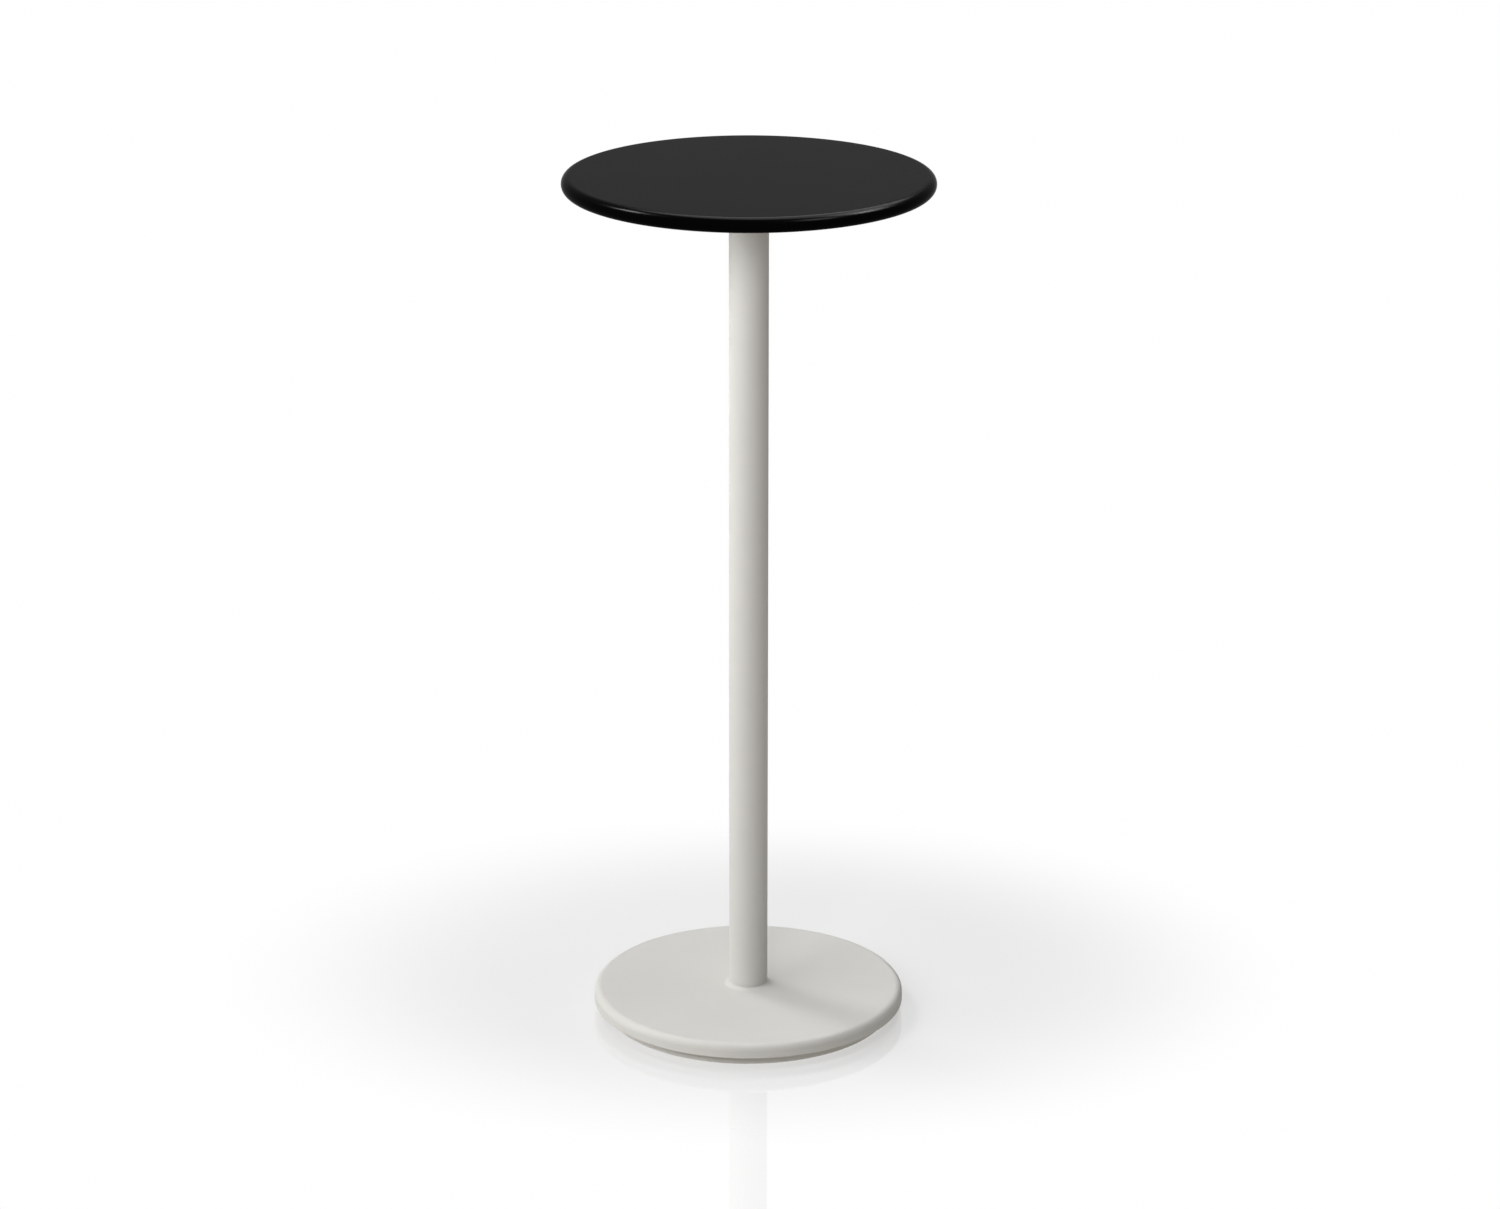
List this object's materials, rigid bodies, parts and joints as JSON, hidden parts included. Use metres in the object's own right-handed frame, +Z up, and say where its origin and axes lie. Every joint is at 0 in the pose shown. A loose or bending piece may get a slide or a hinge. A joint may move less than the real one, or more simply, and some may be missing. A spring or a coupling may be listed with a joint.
{
  "type": "bar table",
  "caption": "Tall round pedestal bar table: half-round-edged top on a cast spider, tube column clamped by a tie rod, weighted disc base with screw-adjusted levelling glides.",
  "frame": {"origin": "on the floor, on the column's axis, under the middle of the base", "axes": "+Z up along the column; the spider's arms and the glides lie on the diagonals between +X and +Y"},
  "size_m": [0.45, 0.4498, 1.08],
  "materials": {
    "tabletop_black": "black satin lacquer, smooth, on a wood-fibre board with a full half-round edge",
    "insert_brass": "plain turned brass",
    "spider_casting": "black powder coat on a casting",
    "zinc": "bright zinc plate",
    "black_steel": "blackened",
    "column_coat": "pale warm grey powder coat, satin",
    "cover_coat": "pale warm grey powder coat on a casting, satin",
    "ballast_coat": "pale warm grey powder coat, satin",
    "pad_plastic": "black moulded polyamide",
    "sole_rubber": "dark grey rubber"
  },
  "bodies": {
    "table": {"tabletop": "tabletop_black", "tabletop_inserts": "insert_brass", "top_spider": "spider_casting", "spider_screws": "zinc", "spider_washers": "zinc", "hub_set_screws": "black_steel", "column_tube": "column_coat", "tie_rod": "zinc", "rod_lock_nut": "zinc", "rod_washer": "zinc", "rod_spring_washer": "zinc", "rod_nut": "zinc", "base_cover": "cover_coat", "ballast_disc": "ballast_coat", "ballast_screws": "black_steel"},
    "pad_1": {"glide_pad_1": "pad_plastic", "glide_sole_1": "sole_rubber"},
    "stem_1": {"glide_stem_1": "zinc"},
    "pad_2": {"glide_pad_2": "pad_plastic", "glide_sole_2": "sole_rubber"},
    "stem_2": {"glide_stem_2": "zinc"},
    "pad_3": {"glide_pad_3": "pad_plastic", "glide_sole_3": "sole_rubber"},
    "stem_3": {"glide_stem_3": "zinc"},
    "pad_4": {"glide_pad_4": "pad_plastic", "glide_sole_4": "sole_rubber"},
    "stem_4": {"glide_stem_4": "zinc"}
  },
  "joints": [
    {"name": "glide_1_lift", "type": "slide", "parent": "table", "child": "pad_1", "axis": [0, 0, -1], "range_m": [0, 0.0075]},
    {"name": "glide_1_screw", "type": "hinge", "parent": "pad_1", "child": "stem_1", "pos_m": [0.10324, 0.10324, 0.02], "axis": [0, 0, -1], "range_deg": [0, 2160]},
    {"name": "glide_2_lift", "type": "slide", "parent": "table", "child": "pad_2", "axis": [0, 0, -1], "range_m": [0, 0.0075]},
    {"name": "glide_2_screw", "type": "hinge", "parent": "pad_2", "child": "stem_2", "pos_m": [-0.10324, 0.10324, 0.02], "axis": [0, 0, -1], "range_deg": [0, 2160]},
    {"name": "glide_3_lift", "type": "slide", "parent": "table", "child": "pad_3", "axis": [0, 0, -1], "range_m": [0, 0.0075]},
    {"name": "glide_3_screw", "type": "hinge", "parent": "pad_3", "child": "stem_3", "pos_m": [-0.10324, -0.10324, 0.02], "axis": [0, 0, -1], "range_deg": [0, 2160]},
    {"name": "glide_4_lift", "type": "slide", "parent": "table", "child": "pad_4", "axis": [0, 0, -1], "range_m": [0, 0.0075]},
    {"name": "glide_4_screw", "type": "hinge", "parent": "pad_4", "child": "stem_4", "pos_m": [0.10324, -0.10324, 0.02], "axis": [0, 0, -1], "range_deg": [0, 2160]}
  ],
  "couplings": [
    {"joint": "glide_1_lift", "follows": "glide_1_screw", "m_per_rad": 0.00019894},
    {"joint": "glide_2_lift", "follows": "glide_2_screw", "m_per_rad": 0.00019894},
    {"joint": "glide_3_lift", "follows": "glide_3_screw", "m_per_rad": 0.00019894},
    {"joint": "glide_4_lift", "follows": "glide_4_screw", "m_per_rad": 0.00019894}
  ]
}
